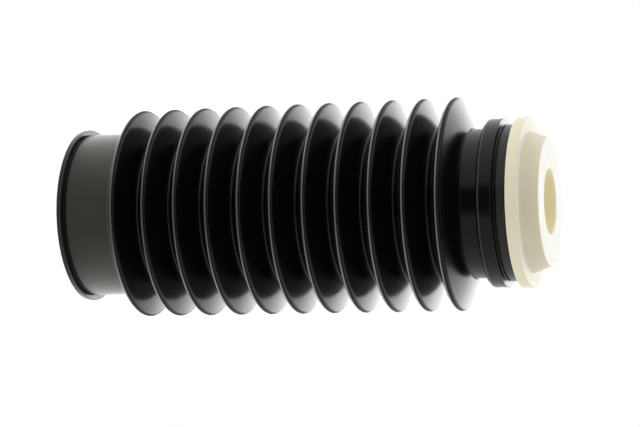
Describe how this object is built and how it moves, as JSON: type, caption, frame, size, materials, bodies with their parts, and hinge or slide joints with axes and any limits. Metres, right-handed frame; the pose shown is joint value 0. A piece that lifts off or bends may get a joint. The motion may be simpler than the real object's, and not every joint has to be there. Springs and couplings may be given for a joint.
{
  "type": "rubber bellows boot",
  "caption": "Convoluted rubber dust boot for a suspension damper rod, with a plain cuff at one end and a foam bump stop held in the other.",
  "frame": {"origin": "centre of the cuff's end face, on the boot's axis", "axes": "+Z along the axis, from the cuff's mouth up through the convolutions to the bump stop's nose; the part is turned about Z, so X and Y are any two directions across it"},
  "size_m": [0.074, 0.074, 0.1688],
  "materials": {
    "boot_rubber": "semi-gloss moulded black rubber",
    "stop_foam": "matt cream closed-cell polyurethane foam"
  },
  "bodies": {
    "root": {"bellows_boot": "boot_rubber", "bump_stop": "stop_foam"}
  },
  "joints": []
}
